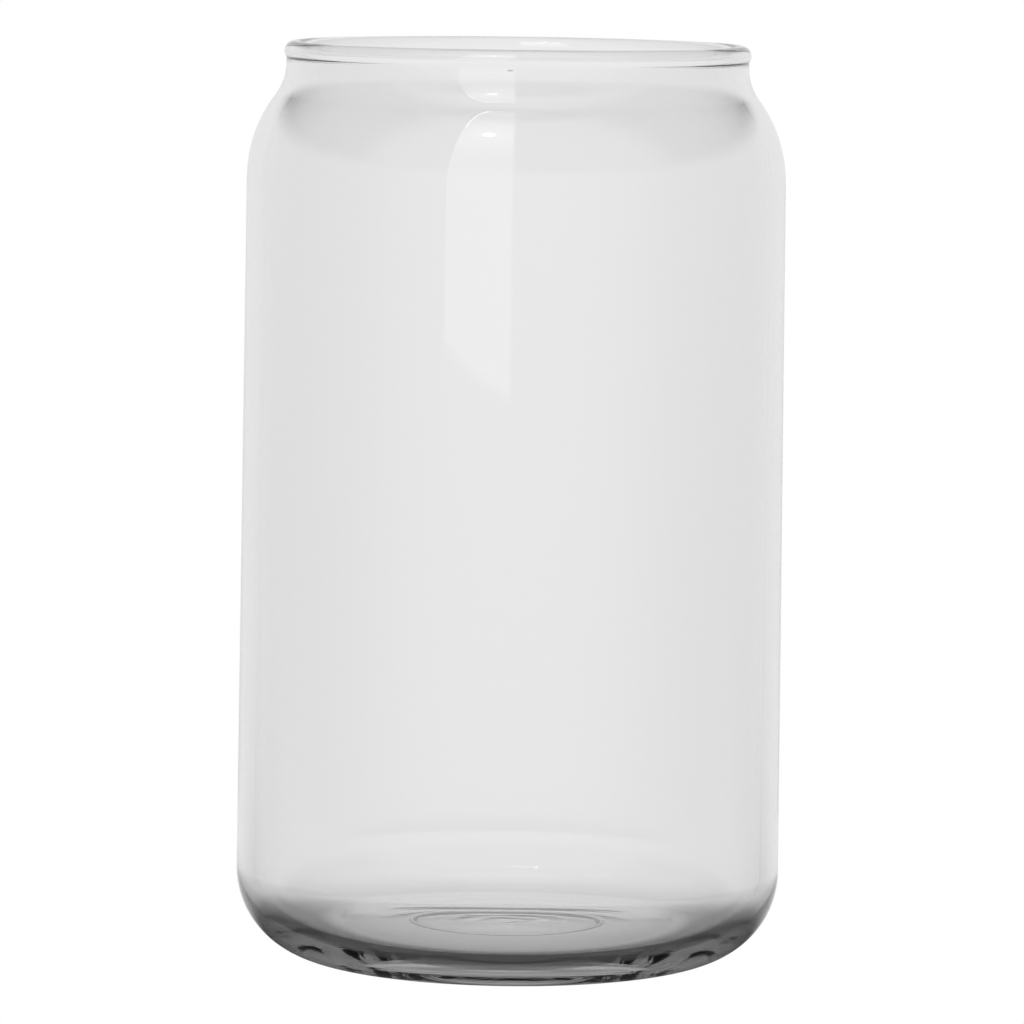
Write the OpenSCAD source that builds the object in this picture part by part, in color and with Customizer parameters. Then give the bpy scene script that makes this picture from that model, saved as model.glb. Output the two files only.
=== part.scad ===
// Can shaped drinking glass, moulded and blown in one piece of clear glass.
// Millimetres, +Z up. The origin is on the axis, on the plane that the foot ring stands on.
// The wall is one closed section of tangent arcs and straight runs, turned about Z.

/* [Overall] */
// Height from the foot ring to the top of the rim
height = 133.4; // [110:0.1:170]
// Largest outside diameter, just above the heel
body_d = 79.2; // [76:0.1:95]
// Outside diameter where the body meets the shoulder
shoulder_d = 78.1; // [74:0.1:90]

/* [Neck and shoulder] */
// Outside diameter of the neck under the rim
neck_d = 67; // [60:0.1:70]
// Straight run of the neck between the rim bead and the shoulder curve
neck_land = 0.7; // [0.2:0.1:4]
// Radius of the hollow curve that leaves the neck
neck_curve_r = 7.2; // [5:0.1:12]
// Radius of the rounded curve that joins the body
shoulder_r = 20; // [14:0.5:30]

/* [Rim] */
// How far the rim bead stands out beyond the neck, outside
bead_out = 0.28; // [0.1:0.01:0.8]
// How far the rim bead stands in beyond the neck, inside
bead_in = 0.32; // [0.1:0.01:0.8]
// Radius of the small hollow under the bead, on both faces
bead_fillet_r = 0.8; // [0.3:0.1:2]

/* [Wall] */
// Wall thickness at the neck and shoulder
wall_top = 2.3; // [1.6:0.1:3.2]
// Wall thickness just above the rounded floor
wall_low = 2.7; // [2:0.1:4]

/* [Base] */
// Outside radius of the heel
heel_r = 13; // [8:0.5:18]
// Radius of the rounded corner between the wall and the floor, inside
floor_corner_r = 9; // [7:0.5:14]
// Height of the middle of the floor above the foot ring
floor_z = 3.5; // [3:0.1:8]
// Radius of the shallow dish of the floor
floor_dish_r = 600; // [200:10:1000]
// Width of the flat ring that the glass stands on
foot_w = 1.6; // [0.8:0.1:4]
// Radius of the inner edge of the foot ring
foot_edge_r = 1.5; // [0.5:0.1:3]
// Rise of the hollow underside at its middle
punt_h = 1; // [0.8:0.1:2]

/* [Mould mark] */
// Radius of the faint raised ring on the underside
mark_r = 14; // [8:0.5:16]
// Width of that ring
mark_w = 1.6; // [0.8:0.1:3]
// Height of that ring
mark_h = 0.15; // [0.05:0.05:0.3]

/* [Smoothness] */
// Largest turn from one edge of a curve to the next, in degrees
arc_step = 6; // [3:1:10]
// Number of flats once round the glass, on screen
rings_fn = 120; // [48:12:240]

/* [Hidden] */
clear_glass = [0.86, 0.90, 0.90, 0.45];

// Radii of the outside at each level, and of the bore at the neck
body_out_r = body_d / 2;
shoulder_out_r = shoulder_d / 2;
neck_out_r = neck_d / 2;
neck_in_r = neck_out_r - wall_top;

// Rim bead, a round of the full wall plus what stands out on each face
bead_r = (wall_top + bead_out + bead_in) / 2;
bead_c = [neck_out_r + bead_out - bead_r, height - bead_r];

// The hollows under the bead touch the neck on one side and the bead on the other
hollow_reach = bead_r + bead_fillet_r;
hollow_out_c = [neck_out_r + bead_fillet_r,
                bead_c[1] - leg(hollow_reach, hollow_reach - bead_out)];
hollow_in_c = [neck_in_r - bead_fillet_r,
               bead_c[1] - leg(hollow_reach, hollow_reach - bead_in)];

// Ogee of the shoulder: a hollow arc and a rounded arc that touch where the slope is steepest
neck_c = [neck_out_r + neck_curve_r, min(hollow_out_c[1], hollow_in_c[1]) - neck_land];
shoulder_x = shoulder_out_r - shoulder_r;
shoulder_c = [shoulder_x, neck_c[1] - leg(neck_curve_r + shoulder_r, neck_c[0] - shoulder_x)];
ogee_a = angle_to(shoulder_c, neck_c);

// Heel outside, rounded corner of the floor inside
heel_c = [body_out_r - heel_r, heel_r];
corner_x = body_out_r - wall_low - floor_corner_r;
dish_c = [0, floor_z + floor_dish_r];
corner_c = [corner_x, dish_c[1] - leg(floor_dish_r - floor_corner_r, corner_x)];
dish_a = angle_to(dish_c, corner_c);

// Directions of the two faces of the body, from the arc below to the arc above
body_out_a = touch_a(heel_c, heel_r, shoulder_c, shoulder_r);
body_in_a = touch_a(corner_c, floor_corner_r, shoulder_c, shoulder_r - wall_top);

// Underside: a shallow dome that runs into the rounded inner edge of the foot ring
foot_edge_c = [heel_c[0] - foot_w, foot_edge_r];
dome_r = (pow(foot_edge_c[0], 2) + pow(punt_h, 2) - 2 * foot_edge_r * punt_h) / (2 * punt_h);
dome_c = [0, punt_h - dome_r];
dome_a = angle_to(dome_c, foot_edge_c);
dome_x = dome_r * cos(dome_a);

// Radii at which the dome is drawn: up to the mould's ring, across it, and on to the foot
mark_x0 = mark_r - mark_w / 2;
mark_x1 = mark_r + mark_w / 2;
dome_xs = concat(spread(0, mark_x0, 6), spread(mark_x0, mark_x1, 8), spread(mark_x1, dome_x, 6));

// Third side of a right triangle, from its longest side and one other
function leg(longest, other) = sqrt(longest * longest - other * other);

// Direction from one point to another, in degrees
function angle_to(from, to) = atan2(to[1] - from[1], to[0] - from[0]);

// Direction square to the line that touches two circles on their outer side
function touch_a(c0, r0, c1, r1) = angle_to(c0, c1) - acos((r0 - r1) / norm(c1 - c0));

// Evenly spaced values, both ends included
function spread(from, to, steps) = [for (i = [0:steps]) from + (to - from) * i / steps];

// Points along an arc, both ends included
function arc(c, r, from, to) =
    [for (a = spread(from, to, max(2, ceil(abs(to - from) / arc_step)))) c + r * [cos(a), sin(a)]];

// The same points without the ones that repeat where two arcs meet
function joined(pts) =
    [for (i = [0:len(pts) - 1]) if (i == 0 || norm(pts[i] - pts[i - 1]) > 0.001) pts[i]];

// Height of the underside at radius x, lowered where the mould's ring stands out of it
function mark_drop(x) =
    abs(x - mark_r) < mark_w / 2 ? mark_h * (1 + cos(360 * (x - mark_r) / mark_w)) / 2 : 0;
function underside_z(x) = dome_c[1] + leg(dome_r, x) - mark_drop(x);

// Underside, from the axis out to the flat of the foot ring
underside = concat(
    [for (x = dome_xs) [x, underside_z(x)]],
    arc(foot_edge_c, foot_edge_r, 180 + dome_a, 270));

// Outside face, from the foot ring up to the bead
outside = concat(
    arc(heel_c, heel_r, -90, body_out_a),
    arc(shoulder_c, shoulder_r, body_out_a, ogee_a),
    arc(neck_c, neck_curve_r, 180 + ogee_a, 180),
    arc(hollow_out_c, bead_fillet_r, 180, angle_to(hollow_out_c, bead_c)));

// Bead, over the rim from the hollow outside to the hollow inside
bead = arc(bead_c, bead_r, angle_to(bead_c, hollow_out_c), 360 + angle_to(bead_c, hollow_in_c));

// Inside face, from the bead down to the middle of the floor
inside = concat(
    arc(hollow_in_c, bead_fillet_r, angle_to(hollow_in_c, bead_c), 0),
    arc(neck_c, neck_curve_r + wall_top, 180, 180 + ogee_a),
    arc(shoulder_c, shoulder_r - wall_top, ogee_a, body_in_a),
    arc(corner_c, floor_corner_r, body_in_a, dish_a),
    arc(dish_c, floor_dish_r, dish_a, -90));

module can_glass() {
    color(clear_glass)
        rotate_extrude($fn = rings_fn)
            polygon(joined(concat(underside, outside, bead, inside)));
}

can_glass();
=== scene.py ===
import math

import bmesh
import bpy
from bpy.props import FloatProperty, FloatVectorProperty, IntProperty, PointerProperty
from mathutils import Matrix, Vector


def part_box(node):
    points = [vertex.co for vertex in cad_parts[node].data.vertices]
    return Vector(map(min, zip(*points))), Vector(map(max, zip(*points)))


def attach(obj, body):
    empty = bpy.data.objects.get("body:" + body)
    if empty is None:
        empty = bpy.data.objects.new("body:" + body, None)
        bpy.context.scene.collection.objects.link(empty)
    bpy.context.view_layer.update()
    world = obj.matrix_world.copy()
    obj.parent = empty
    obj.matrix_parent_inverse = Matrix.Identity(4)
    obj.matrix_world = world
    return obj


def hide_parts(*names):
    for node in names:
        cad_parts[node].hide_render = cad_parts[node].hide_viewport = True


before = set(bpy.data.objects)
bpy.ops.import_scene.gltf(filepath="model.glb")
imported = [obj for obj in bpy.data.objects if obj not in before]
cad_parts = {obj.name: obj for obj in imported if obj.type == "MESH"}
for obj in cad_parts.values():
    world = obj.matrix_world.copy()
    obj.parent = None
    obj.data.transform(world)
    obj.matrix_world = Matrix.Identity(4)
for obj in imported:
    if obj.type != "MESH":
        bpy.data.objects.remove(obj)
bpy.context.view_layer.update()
NODE = "can_glass"
BOX_LOW, BOX_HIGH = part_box(NODE)

bl_info = {
    "name": "Can shaped glass",
    "version": (1, 0, 0),
    "blender": (4, 5, 0),
    "location": "3D View > Sidebar > Can glass",
    "description": "A blown drinking glass in the shape of a drinks can, on a plain pale stage",
    "category": "Object",
}

MM = 0.001
WHITE = (1, 1, 1, 1)

# Points nearer than this on the section, and on the turned mesh, are one
SECTION_APART = 1e-6
MESH_APART = 2e-6
# Steps of the underside: up to the mould's ring and on from it, and across the ring
DOME_STEPS = 8
RING_STEPS = 12

# Soft patches of smudge: their scale, detail, and where the noise turns into a smudge
SMUDGE_SCALE = 28.0
SMUDGE_DETAIL = 3.0
SMUDGE_FROM = (0.55, 0.75)
# Size of a speck, in shares of its cell, and which cells hold one
SPECK_SIZE = (0.02, 0.035)
SPECK_RARE = (0.93, 0.94)
# Heights between which the base's waves give way to those of the wall
LOW_DOWN = (8 * MM, 22 * MM)
# The waves run long round the glass, as the mould and the pull of the hot glass leave them
WAVE_STRETCH = (0.3, 0.3, 2.0)
# Middle and reach of the swirl in the floor
SWIRL_AT = (3 * MM, 4 * MM)
SWIRL_R = 16 * MM
SWIRL_FLATTER = 2.0
SWIRL_DISTORTION = 6.0
SWIRL_DETAIL_SCALE = 1.5
WAVE_DETAIL = 2.0
# Light that the glass lets through to what it shades
SHADOW_CLEAR = (0.9, 0.9, 0.9, 1.0)

# Radii between which the floor's shade under the glass darkens, and then fades
SHADE_UNDER = (25.5 * MM, 28.5 * MM)
SHADE_EDGE = (36 * MM, 60 * MM)
# Distances behind the axis between which the shade opens to the light
SHADE_BACK = (2 * MM, 22 * MM)
# How squarely behind, or in front, the floor lies where its own glow starts and is full
GLOW_BACK = (0.3, 0.9)
GLOW_FRONT = (0.1, 1.0)
PAPER = (0.8, 0.8, 0.8, 1)

# Angles in degrees between which the world's parts fade: the top of the band, the sides and the
# top of the sheet behind, and the light above
BAND_TOP = (11, 23)
SHEET_SIDE = (64, 74)
SHEET_TOP = (26, 38)
ABOVE_FROM = (68, 82)
# How squarely in front the room's glow on the camera's side starts and is full
FACING_FROM = (0.1, 0.5)
# Least distance from straight up at which a direction still has a side
STRAIGHT_UP = 0.01

# Foot of the window, and how much higher its left edge starts for each metre to the left
PANE_FOOT = (40 * MM, 48 * MM)
PANE_SLANT = 0.039
# The rounded corner at its head: middle and half sizes of the ellipse, and its bright rim
CORNER_AT = (-0.1, 1.05)
CORNER_SIZE = (0.105, 0.75)
CORNER_SOFT = 0.01
CORNER_EDGE = (1.0, 1.03)
CORNER_RIM = (0.93, 0.96)
# Shares of the window's width between which its right edge fades
PANE_RIGHT = (0.42, 0.5)
# Radii of the lamp's spot, and of the soft light round it with its share of the window's glow
LAMP_SPOT = (0.02, 0.06)
LAMP_HALO = (0.0, 0.5)
HALO_SHARE = 0.7

# Times that light may cross or bounce in the glass
BOUNCES = 48
CAMERA_REACH = 100


def length(name, note, default):
    return FloatProperty(name=name, description=note, default=default, min=0.0, unit="LENGTH", precision=5)


class GlassShape(bpy.types.PropertyGroup):
    """Sizes of the turned section, in metres"""
    height: length("Height", "Foot ring to the top of the rim", BOX_HIGH.z)
    body_r: length("Body radius", "Largest outside radius, just above the heel", BOX_HIGH.x)
    shoulder_out_r: length("Shoulder radius", "Outside radius where body meets shoulder", 39.05 * MM)
    neck_r: length("Neck radius", "Outside radius under the rim", 33.5 * MM)
    neck_land: length("Neck land", "Straight run of the neck", 0.7 * MM)
    neck_curve_r: length("Neck curve", "Radius of the hollow curve at the neck", 7.2 * MM)
    shoulder_r: length("Shoulder curve", "Radius of the rounded curve of the shoulder", 20 * MM)
    bead_out: length("Bead outside", "How far the rim bead stands out, outside", 0.28 * MM)
    bead_in: length("Bead inside", "How far the rim bead stands in, inside", 0.32 * MM)
    bead_fillet_r: length("Bead fillet", "Radius of the hollow under the bead", 0.8 * MM)
    wall_top: length("Wall at the top", "Wall thickness at neck and shoulder", 2.3 * MM)
    wall_low: length("Wall at the foot", "Wall thickness above the rounded floor", 2.7 * MM)
    heel_r: length("Heel", "Outside radius of the heel", 13 * MM)
    floor_corner_r: length("Floor corner", "Radius of the corner of the floor, inside", 9 * MM)
    floor_z: length("Floor height", "Middle of the floor above the foot ring", 3.5 * MM)
    floor_dish_r: length("Floor dish", "Radius of the shallow dish of the floor", 600 * MM)
    foot_w: length("Foot width", "Width of the flat ring underneath", 1.6 * MM)
    foot_edge_r: length("Foot edge", "Radius of the inner edge of the foot ring", 1.5 * MM)
    punt_h: length("Punt", "Rise of the hollow underside", 1 * MM)
    mark_r: length("Mould ring", "Radius of the faint raised ring on the underside", 14 * MM)
    mark_w: length("Mould ring width", "Width of that ring", 1.6 * MM)
    mark_h: length("Mould ring height", "Height of that ring", 0.15 * MM)
    arc_step: FloatProperty(name="Curve step", description="Largest turn between two edges of a curve",
                            default=math.radians(2.5), min=0.01, unit="ROTATION")
    turns: IntProperty(name="Turning steps", description="Faces once round the glass", default=256, min=32)


class GlassFinish(bpy.types.PropertyGroup):
    """Optical values of the glass"""
    tint: FloatVectorProperty(name="Tint", description="Colour of the clear glass", subtype="COLOR",
                              default=(1.0, 1.0, 1.0), min=0.0, max=1.0)
    absorption: FloatProperty(name="Absorption", description="Light lost in a metre of the glass, "
                              "as an exponent", default=24.0, min=0.0)
    wave_scale: FloatProperty(name="Wave scale", description="Scale of the noise that makes the waves",
                              default=55.0)
    wave_high: length("Waves of the wall", "Depth of the faint waves in the body", 0.004 * MM)
    wave_low: length("Waves of the base", "Depth of the waves in the heel and floor", 0.05 * MM)
    swirl_scale: FloatProperty(name="Swirl scale", description="Rings of the swirl, as a wave's scale",
                               default=70.0)
    swirl: length("Swirl", "Depth of the swirl in the floor", 0.02 * MM)
    smudge: FloatProperty(name="Smudge", description="Roughness where the glass was touched", default=0.02,
                          min=0.0, max=1.0)
    speck_spread: FloatProperty(name="Speck spread", description="Cells in a metre that may hold a speck",
                                default=55.0)
    speck_colour: FloatVectorProperty(name="Speck", description="Colour of a speck", subtype="COLOR",
                                      default=(0.25, 0.25, 0.24), min=0.0, max=1.0)
    ior: FloatProperty(name="Refractive index", description="Soda-lime glass", default=1.52, min=1.0)


class StageLook(bpy.types.PropertyGroup):
    """Camera, floor and light"""
    camera_distance: length("Camera distance", "From the axis of the glass, along the floor", 1.0)
    camera_height: length("Camera height", "Above the floor", 0.1631)
    camera_pitch: FloatProperty(name="Camera pitch", description="Downward tilt of the camera",
                                default=math.radians(5.59), unit="ROTATION")
    camera_roll: FloatProperty(name="Camera roll", description="Sideways tilt of the camera",
                               default=math.radians(0.753), unit="ROTATION")
    camera_lens: FloatProperty(name="Lens", description="Focal length in millimetres on a 36 mm sensor",
                               default=242.54, min=10.0)
    window_turn: FloatProperty(name="Window turn", description="Direction of the window, from the camera's",
                               default=math.radians(-14.5), unit="ROTATION")
    window_distance: length("Window distance", "From the axis of the glass to the window", 0.8)
    window_width: length("Window width", "Across the window", 0.41)
    window_height: length("Window height", "From the floor to its head", 1.85)
    window_glow: FloatProperty(name="Window glow", description="Brightness of the window", default=1.9)
    lamp_height: length("Lamp height", "Height of the lamp behind the window", 0.88)
    lamp_glow: FloatProperty(name="Lamp glow", description="Brightness of that lamp", default=10.0)
    rim_glow: FloatProperty(name="Rim glow", description="Brightness of the rim at the corner", default=10.0)
    floor_size: length("Floor size", "Side of the pale floor", 24.0)
    floor_gap: length("Floor gap", "Air between the foot and the floor", 0.05 * MM)
    glow_back: FloatProperty(name="Glow behind", description="Brightness behind, seen in the glass",
                             default=0.9)
    glow_side: FloatProperty(name="Glow beside", description="Brightness at the sides", default=0.65)
    glow_front: FloatProperty(name="Glow in front", description="Brightness in front", default=0.95)
    shade_under: FloatProperty(name="Shade under", description="How much the glass shades the floor under it",
                               default=0.55)
    shade_ring: FloatProperty(name="Shade ring", description="How much the heel shades the floor round it",
                              default=0.93)
    shade_open: FloatProperty(name="Shade open", description="Share of the shade that is lost at the back",
                              default=0.85)
    top_glow: FloatProperty(name="Top glow", description="Brightness of the light above", default=0.6)
    facing_glow: FloatProperty(name="Facing glow", description="Brightness of the room on the camera's side",
                               default=0.6)
    room_glow: FloatProperty(name="Room glow", description="Brightness of the rest of the room", default=0.08)


class Signal:
    """A shader value that can be written in sums, each of which adds a Math node"""

    def __init__(self, wires, socket):
        self.wires = wires
        self.socket = socket

    def with_math(self, operation, *values):
        sockets = {place: value for place, value in enumerate(values)}
        return self.wires.add("ShaderNodeMath", {"operation": operation}, sockets)

    def __add__(self, other):
        return self.with_math("ADD", self, other)

    def __radd__(self, other):
        return self.with_math("ADD", other, self)

    def __sub__(self, other):
        return self.with_math("SUBTRACT", self, other)

    def __rsub__(self, other):
        return self.with_math("SUBTRACT", other, self)

    def __mul__(self, other):
        return self.with_math("MULTIPLY", self, other)

    def __truediv__(self, other):
        return self.with_math("DIVIDE", self, other)

    def __pow__(self, other):
        return self.with_math("POWER", self, other)

    def larger(self, other):
        return self.with_math("MAXIMUM", self, other)

    def ease(self, start, end):
        """0 at start, 1 at end, with soft ends"""
        return self.wires.add("ShaderNodeMapRange", {"interpolation_type": "SMOOTHSTEP"},
                              {"Value": self, "From Min": start, "From Max": end})


class Wires:
    """The node tree of one material or of the world"""

    def __init__(self, owner):
        owner.use_nodes = True
        self.tree = owner.node_tree
        self.tree.nodes.clear()

    def node(self, kind, settings=None, sockets=None):
        made = self.tree.nodes.new(kind)
        for name, value in (settings or {}).items():
            setattr(made, name, value)
        for place, value in (sockets or {}).items():
            if isinstance(value, Signal):
                self.tree.links.new(value.socket, made.inputs[place])
            elif isinstance(value, bpy.types.NodeSocket):
                self.tree.links.new(value, made.inputs[place])
            else:
                made.inputs[place].default_value = value
        return made

    def add(self, kind, settings=None, sockets=None, output=0):
        return Signal(self, self.node(kind, settings, sockets).outputs[output])

    def axes(self, coordinates):
        """X, Y and Z of the named coordinates, as three signals"""
        place = self.node("ShaderNodeTexCoord").outputs[coordinates]
        parts = self.node("ShaderNodeSeparateXYZ", sockets={0: place})
        return [Signal(self, out) for out in parts.outputs]

    def ray(self, kind):
        return self.add("ShaderNodeLightPath", output=kind)


def deselect_all():
    bpy.ops.object.select_all(action="DESELECT")


def leg(longest, other):
    return math.sqrt(longest * longest - other * other)


def direction(start, end):
    return math.atan2(end[1] - start[1], end[0] - start[0])


def touch(centre0, radius0, centre1, radius1):
    """Direction square to the line that touches two circles on their outer side"""
    gap = math.dist(centre0, centre1)
    return direction(centre0, centre1) - math.acos((radius0 - radius1) / gap)


def arc(centre, radius, start, end, step):
    steps = max(2, math.ceil(abs(end - start) / step))
    angles = [start + (end - start) * i / steps for i in range(steps + 1)]
    return [(centre[0] + radius * math.cos(a), centre[1] + radius * math.sin(a)) for a in angles]


def spread(start, end, steps):
    """Evenly spaced values, both ends included"""
    return [start + (end - start) * i / steps for i in range(steps + 1)]


def ring_drop(shape, x):
    """How far the mould's ring stands out of the underside at radius x"""
    off = abs(x - shape.mark_r)
    if off >= shape.mark_w / 2:
        return 0.0
    return shape.mark_h * (1 + math.cos(2 * math.pi * off / shape.mark_w)) / 2


def glass_section(shape):
    """The closed section from the axis underneath, round the rim, to the axis on the floor"""
    step = shape.arc_step
    half = math.pi / 2
    bead_r = (shape.wall_top + shape.bead_out + shape.bead_in) / 2
    bead_c = (shape.neck_r + shape.bead_out - bead_r, shape.height - bead_r)
    reach = bead_r + shape.bead_fillet_r
    hollow_out_c = (shape.neck_r + shape.bead_fillet_r, bead_c[1] - leg(reach, reach - shape.bead_out))
    hollow_in_c = (shape.neck_r - shape.wall_top - shape.bead_fillet_r,
                   bead_c[1] - leg(reach, reach - shape.bead_in))
    neck_c = (shape.neck_r + shape.neck_curve_r, min(hollow_out_c[1], hollow_in_c[1]) - shape.neck_land)
    shoulder_x = shape.shoulder_out_r - shape.shoulder_r
    shoulder_c = (shoulder_x,
                  neck_c[1] - leg(shape.neck_curve_r + shape.shoulder_r, neck_c[0] - shoulder_x))
    ogee = direction(shoulder_c, neck_c)
    shoulder_in_r = shape.shoulder_r - shape.wall_top
    heel_c = (shape.body_r - shape.heel_r, shape.heel_r)
    corner_x = shape.body_r - shape.wall_low - shape.floor_corner_r
    dish_c = (0.0, shape.floor_z + shape.floor_dish_r)
    corner_c = (corner_x, dish_c[1] - leg(shape.floor_dish_r - shape.floor_corner_r, corner_x))
    dish_a = direction(dish_c, corner_c)
    body_out_a = touch(heel_c, shape.heel_r, shoulder_c, shape.shoulder_r)
    body_in_a = touch(corner_c, shape.floor_corner_r, shoulder_c, shoulder_in_r)
    edge_c = (heel_c[0] - shape.foot_w, shape.foot_edge_r)
    dome_r = (edge_c[0] ** 2 + shape.punt_h ** 2 - 2 * shape.foot_edge_r * shape.punt_h) / (2 * shape.punt_h)
    dome_c = (0.0, shape.punt_h - dome_r)
    dome_a = direction(dome_c, edge_c)
    fine = step / 10
    dome_x = dome_r * math.cos(dome_a)
    ring_in = shape.mark_r - shape.mark_w / 2
    ring_out = shape.mark_r + shape.mark_w / 2
    across = (spread(0.0, ring_in, DOME_STEPS) + spread(ring_in, ring_out, RING_STEPS)
              + spread(ring_out, dome_x, DOME_STEPS))
    dome = [(x, dome_c[1] + leg(dome_r, x) - ring_drop(shape, x)) for x in across]
    points = (
        dome
        + arc(edge_c, shape.foot_edge_r, math.pi + dome_a, 3 * half, step * 2)
        + arc(heel_c, shape.heel_r, -half, body_out_a, step)
        + arc(shoulder_c, shape.shoulder_r, body_out_a, ogee, step)
        + arc(neck_c, shape.neck_curve_r, math.pi + ogee, math.pi, step)
        + arc(hollow_out_c, shape.bead_fillet_r, math.pi, direction(hollow_out_c, bead_c), step * 3)
        + arc(bead_c, bead_r, direction(bead_c, hollow_out_c),
              2 * math.pi + direction(bead_c, hollow_in_c), step * 4)
        + arc(hollow_in_c, shape.bead_fillet_r, direction(hollow_in_c, bead_c), 0.0, step * 3)
        + arc(neck_c, shape.neck_curve_r + shape.wall_top, math.pi, math.pi + ogee, step)
        + arc(shoulder_c, shoulder_in_r, ogee, body_in_a, step)
        + arc(corner_c, shape.floor_corner_r, body_in_a, dish_a, step)
        + arc(dish_c, shape.floor_dish_r, dish_a, -half, fine))
    kept = [points[0]]
    for point in points[1:]:
        if math.dist(point, kept[-1]) > SECTION_APART:
            kept.append(point)
    return kept


class GLASS_OT_can_glass(bpy.types.Operator):
    """Turns the whole glass from its section, as one closed wall"""
    bl_idname = "glass.can_glass"
    bl_label = "Can glass"

    def execute(self, context):
        shape = context.scene.glass_shape
        section = glass_section(shape)
        deselect_all()
        bpy.ops.mesh.primitive_plane_add(size=2 * MM, location=(0, 0, 0))
        piece = context.object
        piece.name = "blown_glass"
        bpy.ops.object.mode_set(mode="EDIT")
        mesh = bmesh.from_edit_mesh(piece.data)
        mesh.verts.ensure_lookup_table()
        start = mesh.verts[0]
        bmesh.ops.delete(mesh, geom=mesh.verts[1:], context="VERTS")
        start.co = (section[0][0], 0.0, section[0][1])
        start.select_set(True)
        bmesh.update_edit_mesh(piece.data)
        for before, after in zip(section, section[1:]):
            move = (after[0] - before[0], 0.0, after[1] - before[1])
            bpy.ops.mesh.extrude_region_move(TRANSFORM_OT_translate={"value": move})
        bpy.ops.mesh.select_all(action="SELECT")
        bpy.ops.mesh.spin(steps=shape.turns, angle=2 * math.pi, center=(0, 0, 0), axis=(0, 0, 1))
        bpy.ops.mesh.select_all(action="SELECT")
        bpy.ops.mesh.remove_doubles(threshold=MESH_APART)
        bpy.ops.mesh.select_all(action="SELECT")
        bpy.ops.mesh.normals_make_consistent(inside=False)
        bpy.ops.object.mode_set(mode="OBJECT")
        bpy.ops.object.shade_smooth()
        piece.data.materials.append(clear_glass(context.scene.glass_finish))
        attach(piece, "root")
        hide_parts(NODE)
        return {"FINISHED"}


def smudges(wires, place):
    """Where the glass was touched, in soft patches"""
    patches = wires.add("ShaderNodeTexNoise", None, {
        "Vector": place, "Scale": SMUDGE_SCALE, "Detail": SMUDGE_DETAIL})
    return patches.ease(*SMUDGE_FROM)


def specks(wires, place, finish):
    """Colour of the glass, darker in the few cells whose speck lies on its surface"""
    cells = wires.node("ShaderNodeTexVoronoi", None, {"Vector": place, "Scale": finish.speck_spread})
    near = 1.0 - Signal(wires, cells.outputs["Distance"]).ease(*SPECK_SIZE)
    parts = wires.node("ShaderNodeSeparateColor", None, {0: cells.outputs["Color"]})
    rare = Signal(wires, parts.outputs[0]).ease(*SPECK_RARE)
    dust = near * rare
    return wires.node("ShaderNodeMix", {"data_type": "RGBA"}, {
        "Factor": dust, 6: (*finish.tint, 1.0), 7: (*finish.speck_colour, 1.0)}).outputs[2]


def hand_of_the_mould(wires, place, finish):
    """Faint waves in the wall, stronger low down, and the swirl in the floor"""
    x, y, z = wires.axes("Object")
    low = 1.0 - z.ease(*LOW_DOWN)
    stretched = wires.node("ShaderNodeVectorMath", {"operation": "MULTIPLY"}, {0: place, 1: WAVE_STRETCH})
    waves = wires.add("ShaderNodeTexNoise", None, {
        "Vector": stretched.outputs[0], "Scale": finish.wave_scale, "Detail": WAVE_DETAIL})
    off = (x - SWIRL_AT[0]) ** 2.0 + (y - SWIRL_AT[1]) ** 2.0 * SWIRL_FLATTER
    middle = (1.0 - off.ease(0.0, SWIRL_R ** 2)) * low
    rings = wires.add("ShaderNodeTexWave", {"wave_type": "RINGS", "rings_direction": "Z"}, {
        "Vector": place, "Scale": finish.swirl_scale, "Distortion": SWIRL_DISTORTION,
        "Detail": WAVE_DETAIL, "Detail Scale": SWIRL_DETAIL_SCALE}, output=1)
    depth = low * (finish.wave_low - finish.wave_high) + finish.wave_high
    height = waves * depth + rings * middle * finish.swirl
    return wires.node("ShaderNodeBump", None, {
        "Strength": 1.0, "Distance": 1.0, "Height": height}).outputs[0]


def clear_glass(finish):
    """Clear glass that takes more light where more of it is crossed"""
    material = bpy.data.materials.new("clear_glass")
    wires = Wires(material)
    place = wires.node("ShaderNodeTexCoord").outputs["Object"]
    glass = wires.node("ShaderNodeBsdfPrincipled", None, {
        "Base Color": specks(wires, place, finish),
        "Roughness": smudges(wires, place) * finish.smudge,
        "IOR": finish.ior,
        "Transmission Weight": 1.0,
        "Normal": hand_of_the_mould(wires, place, finish),
    })
    through = wires.node("ShaderNodeBsdfTransparent", None, {"Color": SHADOW_CLEAR})
    mixed = wires.node("ShaderNodeMixShader", None, {
        0: wires.ray("Is Shadow Ray"), 1: glass.outputs[0], 2: through.outputs[0]})
    depth = wires.node("ShaderNodeVolumeAbsorption", None, {
        "Color": (0, 0, 0, 1), "Density": finish.absorption})
    wires.node("ShaderNodeOutputMaterial", None, {"Surface": mixed.outputs[0], "Volume": depth.outputs[0]})
    return material


def seen_rays(wires):
    """1 on the rays that show the backdrop: from the camera, reflected and refracted"""
    return wires.ray("Is Camera Ray").larger(wires.ray("Is Glossy Ray")).larger(
        wires.ray("Is Transmission Ray"))


def surround(ahead, look):
    """Brightness round the glass, from how squarely behind (1) or in front (-1) a direction is"""
    return (ahead.ease(*GLOW_BACK) * (look.glow_back - look.glow_side)
            + (0.0 - ahead).ease(*GLOW_FRONT) * (look.glow_front - look.glow_side) + look.glow_side)


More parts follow.
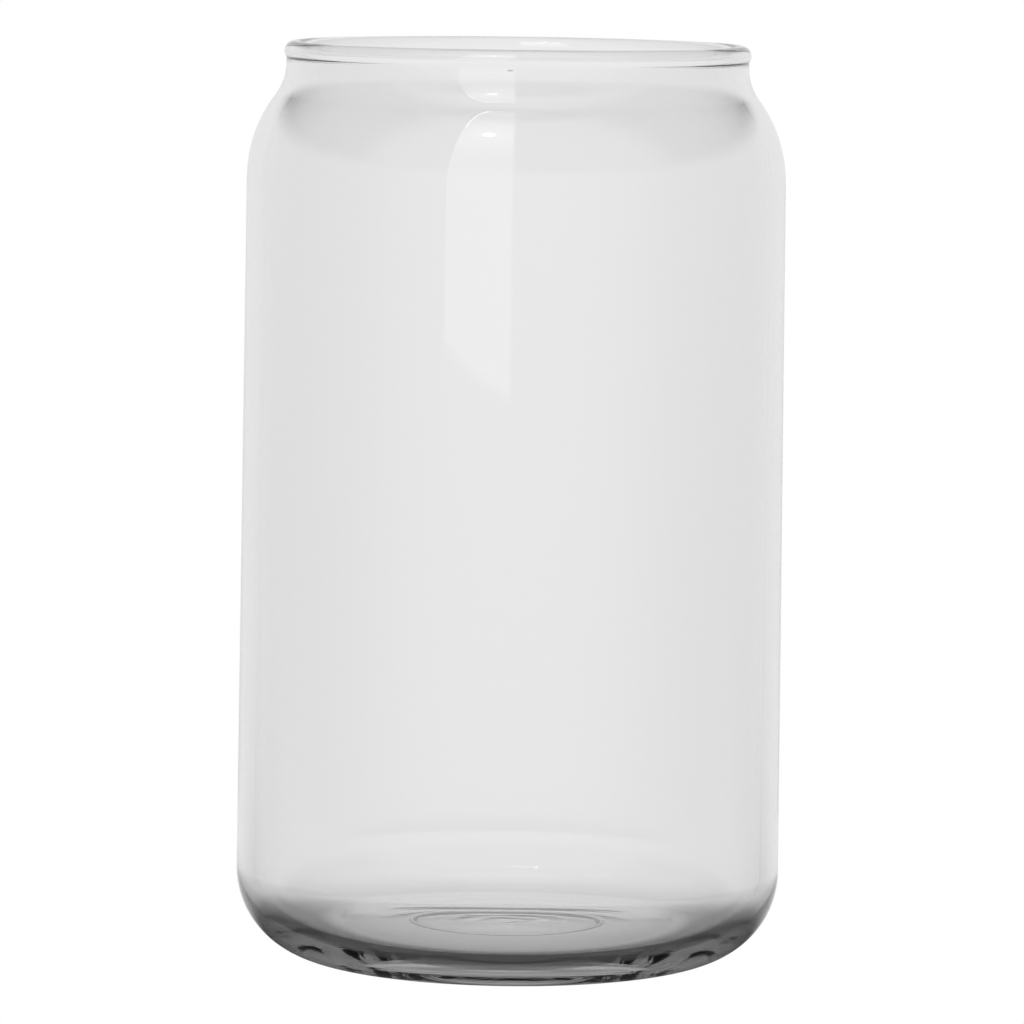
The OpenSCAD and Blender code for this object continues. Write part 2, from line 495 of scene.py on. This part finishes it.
def pale_floor(look):
    """White to the eye. In the glass it also shows the soft shadow round the foot, open to the back"""
    material = bpy.data.materials.new("pale_floor")
    wires = Wires(material)
    x, y, z = wires.axes("Object")
    radius = (x * x + y * y) ** 0.5
    under = 1.0 - radius.ease(*SHADE_UNDER)
    ring = radius.ease(*SHADE_UNDER) * (1.0 - radius.ease(*SHADE_EDGE))
    shade = under * look.shade_under + ring * look.shade_ring
    shade = shade * (1.0 - y.ease(*SHADE_BACK) * look.shade_open)
    lit = (1.0 - shade) * surround(y / radius.larger(MM), look)
    camera = wires.ray("Is Camera Ray")
    shine = wires.node("ShaderNodeEmission", None, {
        "Color": WHITE, "Strength": camera + lit * (1.0 - camera) * seen_rays(wires)})
    paper = wires.node("ShaderNodeBsdfDiffuse", None, {"Color": PAPER})
    mixed = wires.node("ShaderNodeMixShader", None, {
        0: seen_rays(wires), 1: paper.outputs[0], 2: shine.outputs[0]})
    wires.node("ShaderNodeOutputMaterial", None, {"Surface": mixed.outputs[0]})
    return material


def fade(value, angles):
    """0 to 1 as a height or a share turned to the back passes from one angle to the next, in degrees"""
    start, end = (math.sin(math.radians(angle)) for angle in angles)
    return value.ease(start, end)


def studio_world(look):
    """A pale band round the horizon, dimmer beside, a sheet behind, a light above and the room in front"""
    world = bpy.data.worlds.new("studio")
    wires = Wires(world)
    x, y, z = wires.axes("Generated")
    behind = y / ((x * x + y * y) ** 0.5).larger(STRAIGHT_UP)
    band = surround(y, look) * (1.0 - fade(z, BAND_TOP))
    sheet = fade(behind, SHEET_SIDE) * (1.0 - fade(z, SHEET_TOP)) * look.glow_back
    above = fade(z, ABOVE_FROM) * look.top_glow
    facing = (0.0 - y).ease(*FACING_FROM) * look.facing_glow
    around = band.larger(sheet).larger(above).larger(facing).larger(look.room_glow)
    camera = wires.ray("Is Camera Ray")
    strength = camera + around * (1.0 - camera)
    sky = wires.node("ShaderNodeBackground", None, {"Color": WHITE, "Strength": strength})
    wires.node("ShaderNodeOutputWorld", None, {"Surface": sky.outputs[0]})
    return world


def window_light(look):
    """A tall soft light with a slanting foot, a rounded corner with a rim, and its lamp showing through"""
    material = bpy.data.materials.new("window_light")
    wires = Wires(material)
    x, y, z = wires.axes("Object")
    foot = (z + x * PANE_SLANT).ease(*PANE_FOOT)
    right = 1.0 - x.ease(*(look.window_width * share for share in PANE_RIGHT))
    across = ((x - CORNER_AT[0]) / CORNER_SIZE[0]) ** 2.0
    along = ((z - CORNER_AT[1]) / CORNER_SIZE[1]) ** 2.0
    corner = ((across + along) ** 0.5
              * (1.0 - x.ease(CORNER_AT[0], CORNER_AT[0] + CORNER_SOFT))
              * z.ease(CORNER_AT[1], CORNER_AT[1] + CORNER_SOFT))
    inside = 1.0 - corner.ease(*CORNER_EDGE)
    rim = corner.ease(*CORNER_RIM) * inside * look.rim_glow
    lamp = (x ** 2.0 + (z - look.lamp_height) ** 2.0) ** 0.5
    spot = ((1.0 - lamp.ease(*LAMP_SPOT)) * look.lamp_glow
            + (1.0 - lamp.ease(*LAMP_HALO)) * look.window_glow * HALO_SHARE)
    light = wires.node("ShaderNodeEmission", None, {
        "Color": WHITE, "Strength": look.window_glow + spot + rim})
    clear = wires.node("ShaderNodeBsdfTransparent")
    mixed = wires.node("ShaderNodeMixShader", None, {
        0: foot * right * inside, 1: clear.outputs[0], 2: light.outputs[0]})
    wires.node("ShaderNodeOutputMaterial", None, {"Surface": mixed.outputs[0]})
    return material


class GLASS_OT_stage(bpy.types.Operator):
    """Lays the pale floor and sets the world, the window light and the camera"""
    bl_idname = "glass.stage"
    bl_label = "Stage"

    def execute(self, context):
        scene = context.scene
        look = scene.glass_stage
        deselect_all()
        bpy.ops.mesh.primitive_plane_add(size=look.floor_size, location=(0, 0, -look.floor_gap))
        floor = context.object
        floor.name = "floor"
        floor.data.materials.append(pale_floor(look))
        scene.world = studio_world(look)
        bpy.ops.object.camera_add()
        camera = context.object
        camera.data.lens = look.camera_lens
        camera.data.clip_end = CAMERA_REACH
        camera.matrix_world = (
            Matrix.Translation((0, -look.camera_distance, look.camera_height))
            @ Matrix.Rotation(math.pi / 2 - look.camera_pitch, 4, "X")
            @ Matrix.Rotation(look.camera_roll, 4, "Z"))
        scene.camera = camera
        self.add_window(look)
        scene.view_settings.view_transform = "Standard"
        scene.cycles.max_bounces = BOUNCES
        scene.cycles.transmission_bounces = BOUNCES
        scene.cycles.glossy_bounces = BOUNCES
        return {"FINISHED"}

    def add_window(self, look):
        """Stands the window in front, to the left of the camera. Only reflections show it"""
        turn = look.window_turn
        foot = (look.window_distance * math.sin(turn), -look.window_distance * math.cos(turn), 0)
        bpy.ops.mesh.primitive_plane_add(size=1, location=foot)
        window = bpy.context.object
        window.name = "window"
        bpy.ops.object.mode_set(mode="EDIT")
        bpy.ops.transform.resize(value=(look.window_width, look.window_height, 1))
        bpy.ops.transform.translate(value=(0, look.window_height / 2, 0))
        bpy.ops.transform.rotate(value=-math.pi / 2, orient_axis="X", center_override=foot)
        bpy.ops.object.mode_set(mode="OBJECT")
        window.rotation_euler.z = turn
        for kind in ("camera", "diffuse", "transmission", "shadow"):
            setattr(window, "visible_" + kind, False)
        window.data.materials.append(window_light(look))


class GLASS_PT_panel(bpy.types.Panel):
    """Lists the pieces in the sidebar"""
    bl_label = "Can glass"
    bl_space_type = "VIEW_3D"
    bl_region_type = "UI"
    bl_category = "Can glass"

    def draw(self, context):
        for operator in OPERATORS:
            self.layout.operator(operator.bl_idname)


OPERATORS = (GLASS_OT_stage, GLASS_OT_can_glass)
GROUPS = {"glass_shape": GlassShape, "glass_finish": GlassFinish, "glass_stage": StageLook}


def register():
    for made in (*GROUPS.values(), *OPERATORS, GLASS_PT_panel):
        bpy.utils.register_class(made)
    for name, group in GROUPS.items():
        setattr(bpy.types.Scene, name, PointerProperty(type=group))


def unregister():
    for name in GROUPS:
        delattr(bpy.types.Scene, name)
    for made in (GLASS_PT_panel, *OPERATORS, *GROUPS.values()):
        bpy.utils.unregister_class(made)


def main():
    register()
    bpy.ops.glass.stage()
    bpy.ops.glass.can_glass()


if __name__ == "__main__":
    main()
